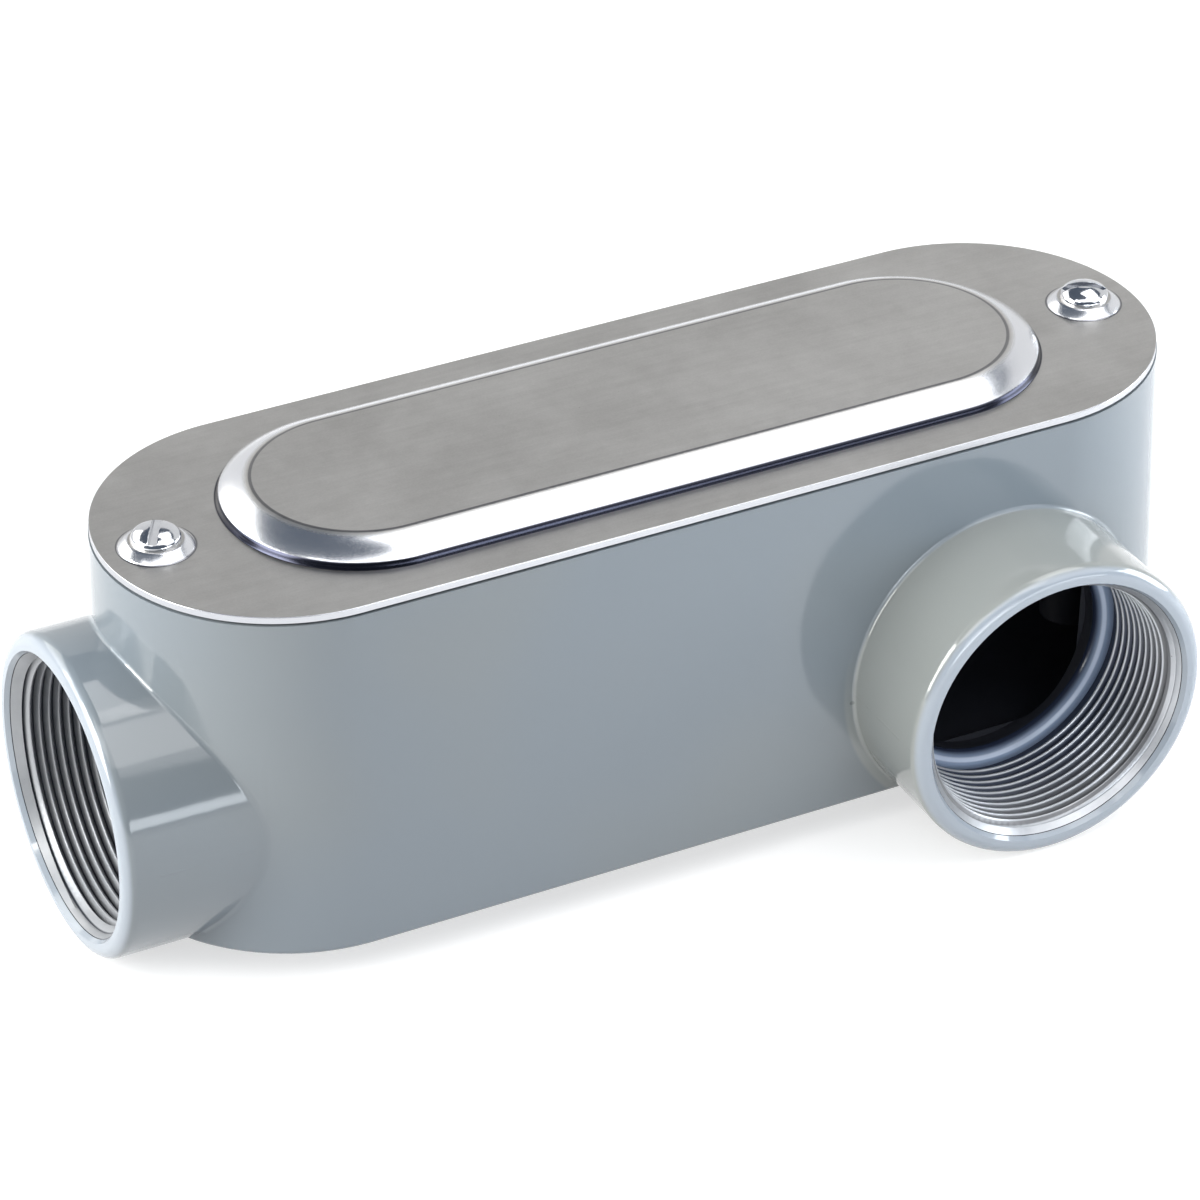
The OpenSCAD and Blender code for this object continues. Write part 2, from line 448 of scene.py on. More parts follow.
def ridge(start):
    """One thread ridge along +Z, from the depth where its first turn begins."""
    below_crest, beside_crest = CREST_POINTS[0]
    flank = (ridge_half - beside_crest) / (CREST - below_crest)
    foot = ridge_half + SUNK * flank
    half_outline = [(SUNK, -foot)] + [(-CREST + below, -beside) for below, beside in CREST_POINTS]
    other_half = [(out, -along) for out, along in reversed(half_outline)]
    outline = half_outline + [(-CREST, 0)] + other_half
    turns = int((stop_depth - ridge_half - start) / PITCH)
    mesh = bpy.data.meshes.new("ridge")
    points = [(thread_r + out, 0, start + along) for out, along in outline]
    count = len(points)
    mesh.from_pydata(points, [(i, (i + 1) % count) for i in range(count)], [])
    obj = bpy.data.objects.new("ridge", mesh)
    bpy.context.collection.objects.link(obj)
    obj.data.materials.append(cut_metal)
    apply(
        obj, "SCREW", axis="Z", angle=2 * math.pi, screw_offset=PITCH, iterations=turns,
        steps=HUB_STEPS, render_steps=HUB_STEPS,
    )
    rings = len(obj.data.vertices) // count - 1
    for v in obj.data.vertices:
        ring = v.index // count
        shown = min(1, ring / RUN_OUT_STEPS, (rings - ring) / RUN_OUT_STEPS)
        radius = math.hypot(v.co.x, v.co.y)
        above_foot = (thread_r + SUNK - radius) * (SHOWN_AT_END + (1 - SHOWN_AT_END) * shown)
        tapered = thread_r + SUNK - above_foot - (v.co.z - chamfer_l) * TAPER
        v.co.x *= tapered / radius
        v.co.y *= tapered / radius
    pick(obj, "edges", lambda e: len(e.link_faces) == 1)
    bpy.ops.mesh.fill()
    bpy.ops.mesh.select_all(action="SELECT")
    bpy.ops.mesh.normals_make_consistent(inside=False)
    leave_edit()
    return obj, turns


mouth_r = 31.6 * MM
painted_l = 1.05 * MM
scribe_w = 0.14 * MM


def countersink():
    """A cone that opens a hub's mouth and trims the first turns of its thread."""
    deselect_all()
    slope = (mouth_r - thread_r) / chamfer_l
    length = chamfer_l + (CREST + 2 * SUNK) / slope
    start_r = mouth_r + RUN_OVER * slope
    edge_r = mouth_r - painted_l * slope
    scribed_r = edge_r - scribe_w * slope
    bpy.ops.mesh.primitive_circle_add(
        vertices=HUB_STEPS, radius=start_r, fill_type="NGON", location=(0, 0, -RUN_OVER),
        rotation=(0, 0, math.pi / HUB_STEPS),
    )
    obj = rename("countersink")
    place(obj, obj.location)
    return extruded(obj, start_r, [
        (RUN_OVER + painted_l, edge_r, paint),
        # The scribed line is painted dark as shade.
        (0, edge_r + scribe_w, dark_inside),
        (scribe_w, edge_r + scribe_w, dark_inside),
        (0, scribed_r, dark_inside),
        (length - painted_l - scribe_w, mouth_r - length * slope, cut_metal),
    ])


for hub in HUBS:
    thread, turns = ridge(ridge_start[hub])
    carve(casting, set_into(thread, hub), "UNION")
    carve(casting, set_into(countersink(), hub))
    print(hub, "hub: thread of", turns, "turns, pitch", round(PITCH / MM, 3), "mm")

# %% Tapped holes for the cover screws
hole_r = 2.5 * MM
hole_l = 17 * MM
for side in (-1, 1):
    where = MIDDLE + Vector((side * screw_x, 0, 0))
    hole = plain_cylinder("hole", hole_r, rim_z - hole_l, rim_z + RUN_OVER, where, steps=24)
    # The tapped holes get the same painted shade.
    hole.data.materials.append(dark_inside)
    carve(casting, hole)
casting.name = casting.data.name = "cast_housing"
NEARLY_ZERO = 0.01 * MM
pick(casting, "verts", lambda v: True)
bpy.ops.mesh.remove_doubles(threshold=NEARLY_ZERO)
bpy.ops.mesh.dissolve_degenerate(threshold=NEARLY_ZERO)
leave_edit()

# %% [markdown]
# ## The cover
#
# The cover is one stamped sheet. Its raised panel was drawn up by a die: the upper edge is soft,
# the side gets steeper on the way down, and the foot is almost upright. Round each screw the
# sheet rises to a small flat ring. The panel and the rings are made round as above, from the top
# down along the line of their section, which is given as slopes in degrees by the share of the
# way. The flat sheet between them is filled in, and Solidify gives the sheet its thickness.

# %% Sections of the panel and the rings, as radius and height
SHEET = 1.5 * MM
flat_z = cover_high.z - 4.8 * MM
panel_end_x = 64 * MM
panel_foot_r = 30.6 * MM
panel_h = cover_high.z - flat_z
panel_slope_w = 7.8 * MM
ring_foot_r = 8.3 * MM
ring_top_r = 5.7 * MM
ring_hole_r = 2.9 * MM
ring_h = 1.7 * MM
SECTION_STEPS = 26
PANEL_SLOPE = ((0, 0), (0.07, 17), (0.8, 44), (0.88, 72), (0.975, 80), (1, 0))
RING_SLOPE = ((0, 0), (0.2, 38), (0.8, 48), (0.93, 60), (1, 0))


def drawn_section(foot_r, width, height, slope):
    """Radii and heights from the flat top down to the foot, by the slope in degrees on the way."""
    run, fall, line = 0, 0, [(0, 0)]
    for step in range(SECTION_STEPS):
        way = (step + 0.5) / SECTION_STEPS
        here = next(pair for pair in zip(slope, slope[1:]) if way <= pair[1][0])
        (way_from, turn_from), (way_to, turn_to) = here
        turn = math.radians(turn_from + (turn_to - turn_from) * (way - way_from) / (way_to - way_from))
        run += math.cos(turn)
        fall += math.sin(turn)
        line.append((run, fall))
    return [(foot_r - width * (1 - x / run), height * (1 - z / fall)) for x, z in line]


def drawn_ring(name, rows, steps):
    """A round raised shape in the sheet: a filled disc that is extruded down its section."""
    deselect_all()
    bpy.ops.mesh.primitive_circle_add(
        vertices=steps, radius=rows[0][0], fill_type="NGON", location=(0, 0, rows[0][1]),
        rotation=(0, 0, math.pi / steps),
    )
    obj = rename(name)
    place(obj, obj.location)
    pick(obj, "faces", lambda f: True)
    bpy.ops.mesh.region_to_loop()
    for (radius_from, z_from), (radius_to, z_to) in zip(rows, rows[1:]):
        bpy.ops.mesh.extrude_edges_move(TRANSFORM_OT_translate={"value": (0, 0, z_to - z_from)})
        share = radius_to / radius_from
        bpy.ops.transform.resize(value=(share, share, 1), center_override=(0, 0, 0))
    leave_edit()
    return obj


panel_rows = drawn_section(panel_foot_r, panel_slope_w, panel_h, PANEL_SLOPE)
panel = drawn_ring("panel", panel_rows, ROUND)
pull_apart(panel, panel_end_x)
ring_rows = drawn_section(ring_foot_r, ring_foot_r - ring_top_r, ring_h, RING_SLOPE)
rings = []
for side in (-1, 1):
    ring = drawn_ring("ring", ring_rows, 48)
    pick(ring, "faces", lambda f: len(f.verts) > 8)
    bpy.ops.mesh.inset(thickness=ring_rows[0][0] - ring_hole_r)
    bpy.ops.mesh.delete(type="FACE")
    leave_edit()
    rings.append(place(ring, Vector((side * screw_x, 0, 0))))

# %% Fill in the flat sheet and give it its thickness
deselect_all()
outline_steps = 2 * ROUND
bpy.ops.mesh.primitive_circle_add(
    vertices=outline_steps, radius=cover_r, rotation=(0, 0, math.pi / outline_steps)
)
cover = rename("stamped_cover")
place(cover, cover.location)
pull_apart(cover, end_x)
select(panel, *rings, cover)
bpy.ops.object.join()
pick(
    cover, "edges",
    lambda e: len(e.link_faces) < 2 and all(abs(v.co.z) < NEARLY_ZERO for v in e.verts),
)
bpy.ops.mesh.fill()
bpy.ops.mesh.select_all(action="SELECT")
bpy.ops.mesh.normals_make_consistent(inside=False)
leave_edit()
place(cover, MIDDLE + Vector((0, 0, flat_z)))
if max(cover.data.polygons, key=lambda p: p.area).normal.z < 0:
    pick(cover, "faces", lambda f: True)
    bpy.ops.mesh.flip_normals()
    leave_edit()
apply(cover, "SOLIDIFY", thickness=SHEET, offset=-1, use_even_offset=True)
sheared = pick(
    cover, "edges",
    lambda e: len(e.link_faces) == 2 and e.is_convex and e.calc_face_angle() > math.radians(60)
    and min(v.co.z for v in e.verts) > flat_z - 0.1 * MM,
)
bpy.ops.mesh.bevel(offset=0.18 * MM, segments=3, affect="EDGES")
leave_edit()
print("cover faces:", len(cover.data.polygons), "sheared edges:", sheared)

# %% [markdown]
# ## The cover screws
#
# A round-head machine screw has a low straight brim and a dome over it. Shank and head are one
# disc that is extruded up the line of the screw, and the slot is cut across the dome by a
# Boolean. Each screw was left turned to its own angle when it was tightened.

# %% Make the screws
head_r = 5.4 * MM
brim_h = 0.35 * MM
slot_w = 1.9 * MM
slot_depth = 1.7 * MM
shank_r = 2.4 * MM
DOME_STEPS = 9
DOME_POLE_R = 0.1 * MM


def screw(name, node, slot_angle):
    """A slotted round-head screw that stands on its ring, in the place and height of its node."""
    low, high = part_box(node)
    seat = Vector(((low.x + high.x) / 2, (low.y + high.y) / 2, flat_z + ring_h))
    shank_l = seat.z - low.z
    head_h = high.z - seat.z
    deselect_all()
    bpy.ops.mesh.primitive_circle_add(
        vertices=48, radius=shank_r, fill_type="NGON", location=(0, 0, -shank_l)
    )
    obj = rename(name)
    place(obj, obj.location)
    rows = [(shank_r, 0), (head_r, 0), (head_r, brim_h)]
    for step in range(1, DOME_STEPS + 1):
        turn = step / DOME_STEPS * math.pi / 2
        dome_r = max(head_r * math.cos(turn), DOME_POLE_R)
        rows.append((dome_r, brim_h + (head_h - brim_h) * math.sin(turn)))
    pick(obj, "faces", lambda f: True)
    radius, z = shank_r, -shank_l
    for next_radius, next_z in rows:
        grow(next_z - z, radius, next_radius)
        radius, z = next_radius, next_z
    bpy.ops.mesh.select_all(action="SELECT")
    bpy.ops.mesh.normals_make_consistent(inside=False)
    leave_edit()
    deselect_all()
    bpy.ops.mesh.primitive_cube_add(size=1)
    slot = rename("slot")
    slot.scale = (3 * head_r, slot_w, 2 * slot_depth)
    slot.rotation_euler.z = math.radians(slot_angle)
    place(slot, Vector((0, 0, head_h)))
    cut(obj, slot)
    pick(
        obj, "edges",
        lambda e: e.calc_face_angle(0) > math.radians(50) and min(v.co.z for v in e.verts) > brim_h / 2,
    )
    bpy.ops.mesh.bevel(offset=0.12 * MM, segments=2, affect="EDGES")
    leave_edit()
    return place(obj, seat)


screws = {
    "cover_screw_hub_end": screw("round_head_screw_hub_end", "cover_screw_hub_end", 59),
    "cover_screw_plain_end": screw("round_head_screw_plain_end", "cover_screw_plain_end", -27),
}
for node, obj in screws.items():
    print(obj.name, len(obj.data.polygons), "faces")

# %% [markdown]
# ## A small language for finishes
#
# Every finish below is a tree of shader nodes. To keep them readable, a Value wraps a node's
# output, so that sums on values can be written as ordinary Python and add their Math nodes by
# themselves. A Finish owns one material's tree and adds every other kind of node.

# %% Values and finishes
# The sockets of a Mix node on colours are told apart by their place only.
COLOUR_A, COLOUR_B, COLOUR_OUT = 6, 7, 2


class Value:
    """One number that varies over a surface."""

    def __init__(self, finish, socket):
        self.finish, self.socket = finish, socket

    def math(self, operation, *others, clamp=False):
        settings = {"operation": operation, "use_clamp": clamp}
        sockets = {0: self, **{i + 1: other for i, other in enumerate(others)}}
        return self.finish.node("ShaderNodeMath", settings, sockets)

    def __add__(self, other):
        return self.math("ADD", other)

    def __sub__(self, other):
        return self.math("SUBTRACT", other)

    def __rsub__(self, other):
        return self * -1 + other

    def __mul__(self, other):
        return self.math("MULTIPLY", other)

    __radd__ = __add__
    __rmul__ = __mul__

    def size(self):
        return self.math("ABSOLUTE")

    def clamped(self):
        return self.math("ADD", 0, clamp=True)

    def ramp(self, low, high):
        """0 below low, 1 above high and smooth between, or the other way round."""
        settings = {"interpolation_type": "SMOOTHSTEP"}
        return self.finish.node("ShaderNodeMapRange", settings, {0: self, 1: low, 2: high})


class Finish:
    """The node tree of one material."""

    def __init__(self, material):
        material.use_nodes = True
        self.tree = material.node_tree
        self.surface = next(n for n in self.tree.nodes if n.type == "BSDF_PRINCIPLED")
        self.where = self.node("ShaderNodeTexCoord", {}, {}, "Object")

    def node(self, kind, settings, sockets, output=0):
        """Adds a node, makes its settings, fills or links its sockets and returns its output."""
        node = self.tree.nodes.new(kind)
        for name, value in settings.items():
            setattr(node, name, value)
        for name, value in sockets.items():
            self.fill(node.inputs[name], value)
        return Value(self, node.outputs[output])

    def fill(self, socket, value):
        if isinstance(value, Value):
            self.tree.links.new(value.socket, socket)
        else:
            socket.default_value = value

    def set(self, **sockets):
        """Sets or links sockets of the surface, named with underscores for spaces."""
        for name, value in sockets.items():
            self.fill(self.surface.inputs[name.replace("_", " ")], value)

    def axes(self):
        """The place on the piece in metres, as three values."""
        split = "ShaderNodeSeparateXYZ"
        x = self.node(split, {}, {0: self.where}, "X")
        node = x.socket.node
        return x, Value(self, node.outputs["Y"]), Value(self, node.outputs["Z"])

    def stretched(self, x, y, z):
        """The place with its axes scaled, for patterns that run one way."""
        scale = {"operation": "MULTIPLY"}
        return self.node("ShaderNodeVectorMath", scale, {0: self.where, 1: (x, y, z)})

    def noise(self, size, detail=2, rough=0.5, where=None):
        """Cloudy values from 0 to 1 whose lumps are about one size across."""
        sockets = {"Vector": where or self.where, "Scale": 1 / size, "Detail": detail, "Roughness": rough}
        return self.node("ShaderNodeTexNoise", {}, sockets, "Fac")

    def specks(self, spacing, radius, share):
        """1 in the middle of a few scattered round specks and 0 elsewhere."""
        sockets = {"Vector": self.where, "Scale": 1 / spacing}
        cell = self.node("ShaderNodeTexVoronoi", {}, sockets, "Distance")
        colour = Value(self, cell.socket.node.outputs["Color"])
        lot = self.node("ShaderNodeSeparateColor", {}, {0: colour}, "Red")
        chosen = lot.math("LESS_THAN", share)
        return cell.ramp(radius / spacing, radius / spacing / 3) * chosen

    def mix(self, factor, first, second):
        """A colour between two colours."""
        settings = {"data_type": "RGBA", "clamp_factor": True}
        sockets = {0: factor, COLOUR_A: first, COLOUR_B: second}
        return self.node("ShaderNodeMix", settings, sockets, COLOUR_OUT)

    def bump(self, height):
        """Gives the surface a relief whose height is in metres."""
        sockets = {"Height": height, "Strength": 1.0, "Distance": 1.0}
        self.set(Normal=self.node("ShaderNodeBump", {}, sockets))


# %% [markdown]
# ## Grey enamel
#
# The casting is enamelled in a glossy light grey. What makes it look real is how it bends
# reflections: slow ripples of the cast wall, the finer skin of sprayed enamel, and grains of dust
# under it. A faint broken parting line runs along the middle of each hub, where the two halves of
# the mould met, and the side of the end hub is rougher there. A few dark pits show. The colour
# varies slightly at random. As painted light, the side hub is lighter and warmer, and the faces of both
# hubs are paler.

# %% Paint the casting
ENAMEL = (0.202, 0.236, 0.266, 1)
ENAMEL_WARM = (0.214, 0.24, 0.256, 1)
ENAMEL_FACE_LIT = (0.34, 0.378, 0.425, 1)
ENAMEL_SIDE_HUB_LIT = (0.300, 0.315, 0.300, 1)
PIT = (0.05, 0.055, 0.06, 1)
GLOSS = 0.09
coat = Finish(paint)
x, y, z = coat.axes()

# Where on the casting a point is
beside_end_axis = (y - end_axis_point.y).size()
on_end_hub = beside_end_axis.ramp(34.4 * MM, 34.8 * MM) * x.ramp(-97 * MM, -97.5 * MM)
from_side_x, over_axis = x - side_axis_point.x, z - end_axis_point.z
from_side_axis = (from_side_x * from_side_x + over_axis * over_axis).math("SQRT")
past_wall = y.ramp(MIDDLE.y - rim_r - 0.6 * MM, MIDDLE.y - rim_r - 1.2 * MM)
on_side_hub = past_wall * from_side_axis.ramp(38.5 * MM, 37.5 * MM)
at_end_mouth = x.ramp(end_mouth.x + 1.8 * MM, end_mouth.x + 0.6 * MM)
at_side_mouth = y.ramp(side_mouth.y + 1.8 * MM, side_mouth.y + 0.6 * MM)
lit_mouth = at_end_mouth.math("MAXIMUM", at_side_mouth)

# Colour and gloss
tint = coat.noise(60 * MM, 1).ramp(0.35, 0.65)
pits = coat.specks(9 * MM, 0.7 * MM, 0.05)
# Painted light: the side hub is painted lighter and warmer, and the faces of both hubs paler.
base = coat.mix(on_side_hub * 0.9, coat.mix(tint, ENAMEL, ENAMEL_WARM), ENAMEL_SIDE_HUB_LIT)
base = coat.mix(lit_mouth, base, ENAMEL_FACE_LIT)
coat.set(Base_Color=coat.mix(pits * 0.8, base, PIT))
coat.set(Roughness=coat.noise(14 * MM, 3) * 0.06 + (GLOSS - 0.03) + pits * 0.3, IOR=1.7)

# Relief
ripples = coat.noise(22 * MM, 1)
skin = coat.noise(2.6 * MM, 2)
grains = coat.noise(0.5 * MM, 1)
rough_side = on_end_hub * z.ramp(36 * MM, 42 * MM) * z.ramp(60 * MM, 54 * MM) * coat.noise(1.8 * MM, 3)
parting = over_axis.size().ramp(0.5 * MM, 0) * (on_end_hub + on_side_hub)
broken = coat.noise(3 * MM, 2).ramp(0.4, 0.6)
coat.bump(
    ripples * (0.08 * MM)
    + skin * (0.01 * MM)
    + rough_side * (0.035 * MM)
    + grains * (0.0006 * MM)
    + parting * broken * (0.04 * MM)
    - pits * (0.1 * MM)
)

# %% [markdown]
# ## Metal finishes
#
# The thread was cut through the enamel, so its crests and the cone in front of it are bare metal.
# Its grooves are painted dark as shade, darker further in, and the end hub's thread is painted
# darker as a whole, also as painted shade. Crest or groove is told by the height over the thread's
# roots, which is worked out for both hubs at once. The enamel on the stop ring is painted pale blue
# as the cool light that reaches it, with a painted highlight near its edge, and dark two millimetres
# on, where no light reaches it. The cover is mill-finished steel: dull, mottled and slightly
# brushed on its flats, and polished on the side of the raised panel, on the rings and on its
# sheared edge. Thin dark lines are painted along the panel's foot as shade, along its upper edge
# as a dark reflection, and round the foot of each ring. The screws are bright zinc.

# %% Cut thread
CREST_DULL, CREST_CLEAN = (0.46, 0.475, 0.50, 1), (0.62, 0.63, 0.65, 1)
CREST_END_HUB_SHADED = (0.16, 0.165, 0.175, 1)
GROOVE_FRONT, GROOVE_DEEP = (0.17, 0.172, 0.18, 1), (0.05, 0.062, 0.10, 1)
GROOVE_END_HUB_SHADE = (0.05, 0.055, 0.07, 1)
bare_thread = Finish(cut_metal)
x, y, z = bare_thread.axes()
in_end_hub = x.math("LESS_THAN", MIDDLE.x - end_x)


def by_hub(at_side, at_end):
    """One value in the side hub and another in the end hub."""
    return at_side + in_end_hub * (at_end - at_side)


sideways = by_hub(x - side_axis_point.x, y - end_axis_point.y)
upwards = z - end_axis_point.z
from_hub_axis = (sideways * sideways + upwards * upwards).math("SQRT")
depth = by_hub(y - side_mouth.y, x - end_mouth.x)
height = thread_r - (depth - chamfer_l) * TAPER - from_hub_axis
groove_h = by_hub(1.05 * MM, 0.05 * MM)
cone_end = by_hub(3.4 * MM, 2.85 * MM)
on_crest = height.ramp(groove_h, groove_h + 0.28 * MM)
bare = on_crest.math("MAXIMUM", depth.ramp(cone_end, cone_end - 0.2 * MM))
# Crest colour: a random worn tone, painted darker in the end hub as painted shade.
worn_and_shaded_crest = bare_thread.mix(bare_thread.noise(3 * MM, 3), CREST_DULL, CREST_CLEAN)
worn_and_shaded_crest = bare_thread.mix(in_end_hub * 0.55, worn_and_shaded_crest, CREST_END_HUB_SHADED)
# Painted shade in the grooves, darker further into the hub and darker in the end hub.
groove = bare_thread.mix(depth.ramp(5 * MM, 21 * MM), GROOVE_FRONT, GROOVE_DEEP)
groove = bare_thread.mix(in_end_hub, groove, GROOVE_END_HUB_SHADE)
bare_thread.set(Base_Color=bare_thread.mix(bare, groove, worn_and_shaded_crest))
bare_thread.set(Metallic=bare * by_hub(0.35, 0.0) + 0.25)
bare_thread.set(Roughness=bare_thread.noise(0.7 * MM, 2) * 0.15 + 0.24)
bare_thread.bump(bare_thread.noise(0.8 * MM, 2) * (0.004 * MM))

# %% Stop rings, throats and the painted shade inside
# The ring is painted pale blue as the cool light that reaches it, with a painted highlight near its edge
# and painted shade further in.
RING_BLUE_LIT, RING_HIGHLIGHT, RING_SHADE = (0.32, 0.40, 0.55, 1), (0.62, 0.70, 0.85, 1), (0.03, 0.040, 0.075, 1)
shade = Finish(shaded_paint)
x, y, z = shade.axes()
by_end_hub = x.math("LESS_THAN", MIDDLE.x - end_x)
past_ring = y + by_end_hub * (x - end_mouth.x - y) - (1 - by_end_hub) * side_mouth.y - stop_depth
hidden = past_ring.ramp(0.3 * MM, 2.2 * MM)
highlight_line = past_ring.ramp(0.05 * MM, 0.2 * MM) * past_ring.ramp(0.8 * MM, 0.5 * MM)
ring_colour = shade.mix(highlight_line, RING_BLUE_LIT, RING_HIGHLIGHT)
shade.set(Base_Color=shade.mix(hidden, ring_colour, RING_SHADE))
shade.set(Roughness=shade.noise(3 * MM, 2) * 0.1 + 0.15)
shade.bump(shade.noise(2.6 * MM, 2) * (0.01 * MM))

# Painted shade: the chamber, throats, holes and scribed lines are painted nearly black as the shade
# inside.
INSIDE_DARK, INSIDE_LIGHT = (0.010, 0.011, 0.016, 1), (0.018, 0.020, 0.028, 1)
inside = Finish(dark_inside)
inside.set(Base_Color=inside.mix(inside.noise(8 * MM, 2), INSIDE_DARK, INSIDE_LIGHT), Roughness=0.55)
inside.bump(inside.noise(1.5 * MM, 3) * (0.03 * MM))

# %% Steel of the cover
STEEL_DARK, STEEL_LIGHT = (0.41, 0.398, 0.38, 1), (0.66, 0.645, 0.62, 1)
STEEL_POLISHED, STEEL_SHEARED = (0.85, 0.86, 0.89, 1), (0.55, 0.56, 0.59, 1)
# Colour of the thin dark lines: painted shade at the panel's foot and a painted dark reflection along its
# upper edge.
DARK_LINE_COLOUR = (0.04, 0.042, 0.06, 1)
steel = bpy.data.materials.new("mill_steel")
sheet = Finish(steel)
x, y, z = sheet.axes()

# Where on the sheet a point is
from_middle = (x - MIDDLE.x).size()
across = (y - MIDDLE.y).size()


def from_line(half):
    """Distance from the line that joins the two centres at half from the middle."""
    along = (from_middle - half).math("MAXIMUM", 0)
    return (across * across + along * along).math("SQRT")


from_spine = from_line(panel_end_x)
from_screw_x = from_middle - screw_x
from_screw = (across * across + from_screw_x * from_screw_x).math("SQRT")
panel_top_r = panel_foot_r - panel_slope_w
panel_side = from_spine.ramp(panel_top_r + 0.1 * panel_slope_w, panel_top_r + 0.3 * panel_slope_w)
panel_side = panel_side * from_spine.ramp(panel_foot_r + 0.1 * MM, panel_foot_r - 0.1 * MM)
ring_side = from_screw.ramp(ring_top_r, ring_top_r + 0.4 * MM)
ring_side = ring_side * from_screw.ramp(ring_foot_r, ring_foot_r - 0.2 * MM)
sheared_edge = from_line(end_x).ramp(cover_r - 0.2 * MM, cover_r - 0.05 * MM)
bright = panel_side.math("MAXIMUM", ring_side).math("MAXIMUM", sheared_edge)

# Thin dark lines: painted shade along the panel's foot, a painted dark reflection along its upper edge,
# and a dark line round the foot of each ring
foot_in = panel_foot_r - 0.11 * panel_slope_w
foot_line = from_spine.ramp(foot_in, foot_in + 0.25 * MM)
foot_line = foot_line * from_spine.ramp(panel_foot_r + 0.3 * MM, panel_foot_r)
top_in = panel_top_r + 0.02 * panel_slope_w
top_line = from_spine.ramp(top_in - 0.2 * MM, top_in)
top_line = top_line * from_spine.ramp(top_in + 0.75 * MM, top_in + 0.45 * MM)
ring_line = from_screw.ramp(ring_foot_r - 0.4 * MM, ring_foot_r - 0.2 * MM)
ring_line = ring_line * from_screw.ramp(ring_foot_r + 0.25 * MM, ring_foot_r)
dark_lines = foot_line.math("MAXIMUM", ring_line * 0.7).math("MAXIMUM", top_line * 0.6)

# Colour, gloss and relief
stains = sheet.noise(38 * MM, 4, 0.6)
mottle = sheet.noise(5 * MM, 4, 0.65)
grain = sheet.noise(0.45 * MM, 2)
brush = sheet.noise(1.2 * MM, 3, 0.6, sheet.stretched(0.06, 1, 1))
glints = sheet.specks(3.4 * MM, 0.2 * MM, 0.16)
dents = sheet.noise(9 * MM, 2)
tone = (stains * 1.2 + mottle * 0.45 + grain * 0.35 + brush * 0.4 - 0.7).clamped()
steel_dull = sheet.mix(tone, STEEL_DARK, STEEL_LIGHT)
steel_bright = sheet.mix(sheared_edge, STEEL_POLISHED, STEEL_SHEARED)
steel_colour = sheet.mix(bright, steel_dull, steel_bright)
sheet.set(Base_Color=sheet.mix(dark_lines, steel_colour, DARK_LINE_COLOUR), Metallic=1.0)
dull_rough = 0.25 + mottle * 0.12 + brush * 0.06
bright_rough = 0.15 + grain * 0.14
sheet.set(Roughness=dull_rough * (1 - bright) + bright * bright_rough - glints * 0.1)
sheet.bump(
    mottle * (0.006 * MM)
    + brush * (0.002 * MM) * (1 - panel_side)
    + dents * (0.03 * MM)
    + glints * (0.01 * MM)
)
cover.data.materials.append(steel)

# %% Bright zinc and the black gasket
ZINC_DULL, ZINC_CLEAN = (0.68, 0.69, 0.72, 1), (0.82, 0.83, 0.85, 1)
zinc = bpy.data.materials.new("bright_zinc")
plate = Finish(zinc)
plate.set(Base_Color=plate.mix(plate.noise(2 * MM, 3), ZINC_DULL, ZINC_CLEAN), Metallic=1.0)
plate.set(Roughness=plate.noise(1.1 * MM, 3) * 0.14 + 0.06)
plate.bump(plate.noise(1.5 * MM, 2) * (0.03 * MM))
for obj in screws.values():
    obj.data.materials.append(zinc)

RUBBER_DARK, RUBBER_LIGHT = (0.018, 0.018, 0.018, 1), (0.035, 0.034, 0.033, 1)
rubber = bpy.data.materials.new("gasket_rubber")
seal = Finish(rubber)
seal.set(Base_Color=seal.mix(seal.noise(2 * MM, 3), RUBBER_DARK, RUBBER_LIGHT))
seal.set(Roughness=seal.noise(1 * MM, 3) * 0.2 + 0.6)
seal.bump(seal.noise(0.4 * MM, 2) * (0.02 * MM))
gasket = frame["nodes"]["gasket"]
if not gasket.material_slots:
    gasket.data.materials.append(rubber)
for slot in gasket.material_slots:
    slot.link = "OBJECT"
    slot.material = rubber

# %% [markdown]
# ## Smooth shading
#
# Smooth shading is set by angle, so that the rim, the slot and the turns of the thread stay crisp.
# Large flat faces beside small rounded ones would shade unevenly, so Weighted Normal lets the
# flat faces decide.

# %% Shade the pieces
for obj in (casting, cover, *screws.values()):
    select(obj)
    bpy.ops.object.shade_smooth_by_angle(angle=math.radians(32))
    apply(obj, "WEIGHTED_NORMAL", keep_sharp=True, weight=60)

# %% [markdown]
# ## Camera
#
# The camera stands where the photographer stood: about 1.2 m away with a long lens, turned 27
# degrees to the hub end and 33 degrees above the floor.

# %% Camera
AZIMUTH = math.radians(-26.72)
ELEVATION = math.radians(32.74)
ROLL = math.radians(-0.14)
AIM = (-7.9 * MM, 31.69 * MM)
DISTANCE = 1210.42 * MM
SENSOR, LENS = 36, 164.9
body_origin = MIDDLE + Vector((0, 0, back_z))


def outwards(azimuth, elevation):
    """The direction from the part to something. Azimuth 0 is in front and 90 on the right."""
    flat = math.cos(elevation)
    return Vector((math.sin(azimuth) * flat, -math.cos(azimuth) * flat, math.sin(elevation)))


back = outwards(AZIMUTH, ELEVATION)
level = Vector((math.cos(AZIMUTH), math.sin(AZIMUTH), 0))
upright = back.cross(level)
turned_right = level * math.cos(ROLL) + upright * math.sin(ROLL)
turned_up = upright * math.cos(ROLL) - level * math.sin(ROLL)
eye = body_origin + turned_right * AIM[0] + turned_up * AIM[1] + back * DISTANCE
bpy.ops.object.camera_add(location=eye)
camera = rename("camera")
camera.rotation_euler = Matrix((turned_right, turned_up, back)).transposed().to_euler()
camera.data.sensor_width = SENSOR
camera.data.lens = LENS
bpy.context.scene.camera = camera

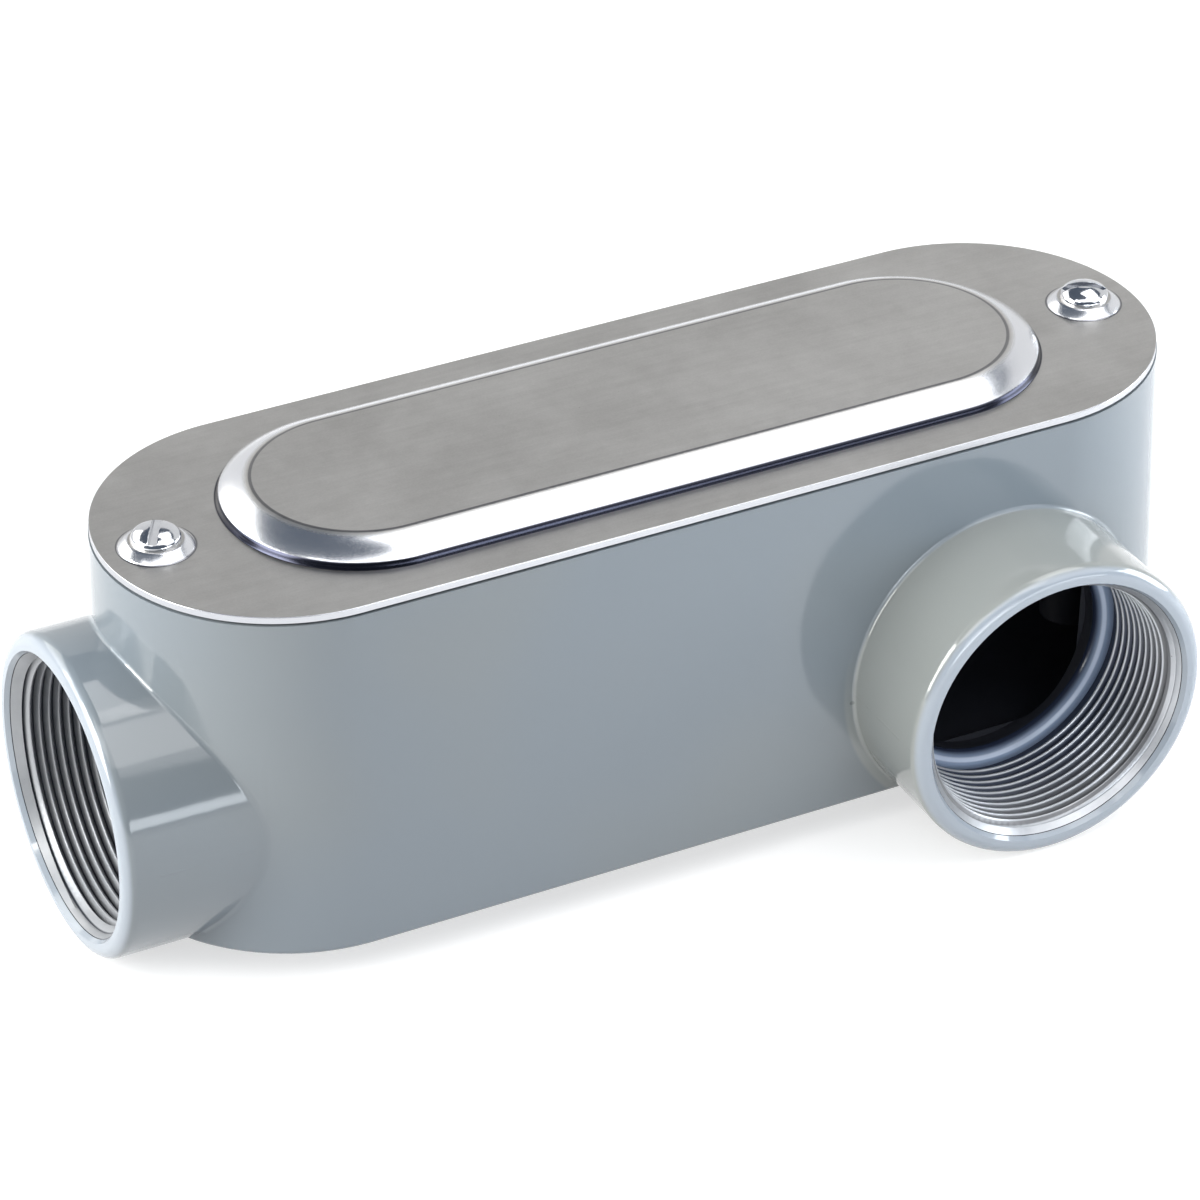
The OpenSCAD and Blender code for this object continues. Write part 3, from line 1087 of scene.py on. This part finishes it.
# %% [markdown]
# ## Floor and light
#
# The part stands on a pale floor under large soft lamps. The floor glows to the camera and in
# reflections, through Light Path, so it is white there and keeps the part's shadow, but it lights
# the part only as much as a pale floor would. A backdrop of the same finish stands half round the
# part, where the cover and the polished sides reflect it. Each lamp is placed by the direction in
# which the photo's reflections look. The large ones stand 1.7 m away: in front on the right, high
# in front, above, on the left and behind on the left. The small ones stand close to one end or to
# the side hub, because upright walls get little light from above.

# %% Floor
bpy.ops.mesh.primitive_circle_add(vertices=64, radius=40, fill_type="NGON")
floor = rename("floor")
floor_look = bpy.data.materials.new("pale_floor")
ground = Finish(floor_look)
ground.set(Base_Color=(0.5, 0.5, 0.5, 1), Roughness=0.9, Specular_IOR_Level=0.0)
by_camera = ground.node("ShaderNodeLightPath", {}, {}, "Is Camera Ray")
rays = by_camera.socket.node.outputs
mirrored = Value(ground, rays["Is Glossy Ray"])
seen_through = Value(ground, rays["Is Transmission Ray"])
seen = (by_camera + mirrored + seen_through).clamped()
NO_GLOW, GLOW = (0, 0, 0, 1), (0.62, 0.62, 0.62, 1)
ground.set(Emission_Color=ground.mix(seen, NO_GLOW, GLOW), Emission_Strength=1.0)
floor.data.materials.append(floor_look)

# %% White backdrop behind the part, from its left side round to its right side
backdrop_r = 3.2
backdrop_h = 2.7
bpy.ops.mesh.primitive_circle_add(vertices=96, radius=backdrop_r)
backdrop = rename("backdrop")
pick(backdrop, "verts", lambda v: v.co.y < -0.2 * backdrop_r)
bpy.ops.mesh.delete(type="VERT")
pick(backdrop, "edges", lambda e: True)
bpy.ops.mesh.extrude_edges_move(TRANSFORM_OT_translate={"value": (0, 0, backdrop_h)})
leave_edit()
backdrop.data.materials.append(floor_look)

# %% Lamps
middle = Vector((0, 0, 0.045))
plain_end = Vector((0.11, -0.03, 0.04))
hub_end = Vector((-0.12, 0.01, 0.05))
side_hub_face = Vector((0.06, -0.05, 0.05))
side_hub_foot = Vector((0.10, 0, 0.06))
WARM = (1.0, 0.985, 0.94)
COOL = (0.90, 0.955, 1.0)
NEUTRAL = (1.0, 1.0, 1.0)


def softbox(name, azimuth, elevation, distance, size, radiance, colour, target=middle):
    """A rectangular lamp that faces its target, in the direction given in degrees."""
    out = outwards(math.radians(azimuth), math.radians(elevation))
    bpy.ops.object.light_add(type="AREA", location=target + out * distance)
    lamp = rename(name)
    lamp.rotation_euler = out.to_track_quat("Z", "Y").to_euler()
    lamp.data.shape = "RECTANGLE"
    lamp.data.size, lamp.data.size_y = size
    lamp.data.energy = radiance * math.pi * size[0] * size[1]
    lamp.data.color = colour
    lamp.visible_camera = False


softbox("key_lamp", 44, 49, 1.7, (1.4, 1.9), 1.35, NEUTRAL)
softbox("front_lamp", -5, 60, 1.7, (1.2, 0.9), 1.5, NEUTRAL)
softbox("top_lamp", 104, 66, 1.7, (1.0, 0.9), 2.7, NEUTRAL)
softbox("left_lamp", -93, 22, 1.7, (0.8, 1.0), 11.0, WARM)
softbox("high_left_lamp", -60, 50, 1.7, (0.8, 0.7), 2.4, NEUTRAL)
softbox("back_left_lamp", -118, 24, 1.7, (0.8, 0.7), 5.0, COOL)
softbox("back_lamp", -148, 29, 1.7, (1.2, 0.9), 2.0, WARM)
softbox("near_right_lamp", 75, 15, 0.3, (0.20, 0.16), 9.0, COOL, plain_end)
softbox("near_left_lamp", -100, 12, 0.5, (0.3, 0.2), 3.0, COOL, hub_end)
softbox("near_front_lamp", -8, 14, 0.17, (0.10, 0.06), 3.0, COOL, side_hub_face)
softbox("low_strip_lamp", 4, 2.5, 0.45, (0.5, 0.055), 5.0, COOL, side_hub_foot)

world = bpy.data.worlds.new("studio")
bpy.context.scene.world = world
world.use_nodes = True
sky = world.node_tree.nodes["Background"].inputs
sky["Color"].default_value = (0.62, 0.76, 1.0, 1)
sky["Strength"].default_value = 0.15
bpy.context.scene.view_settings.view_transform = "Standard"

# %% Say what each piece stands for
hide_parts("housing")
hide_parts("cover")
for node, obj in screws.items():
    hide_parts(node)
for obj in (casting, cover, *screws.values()):
    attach(obj, "root")
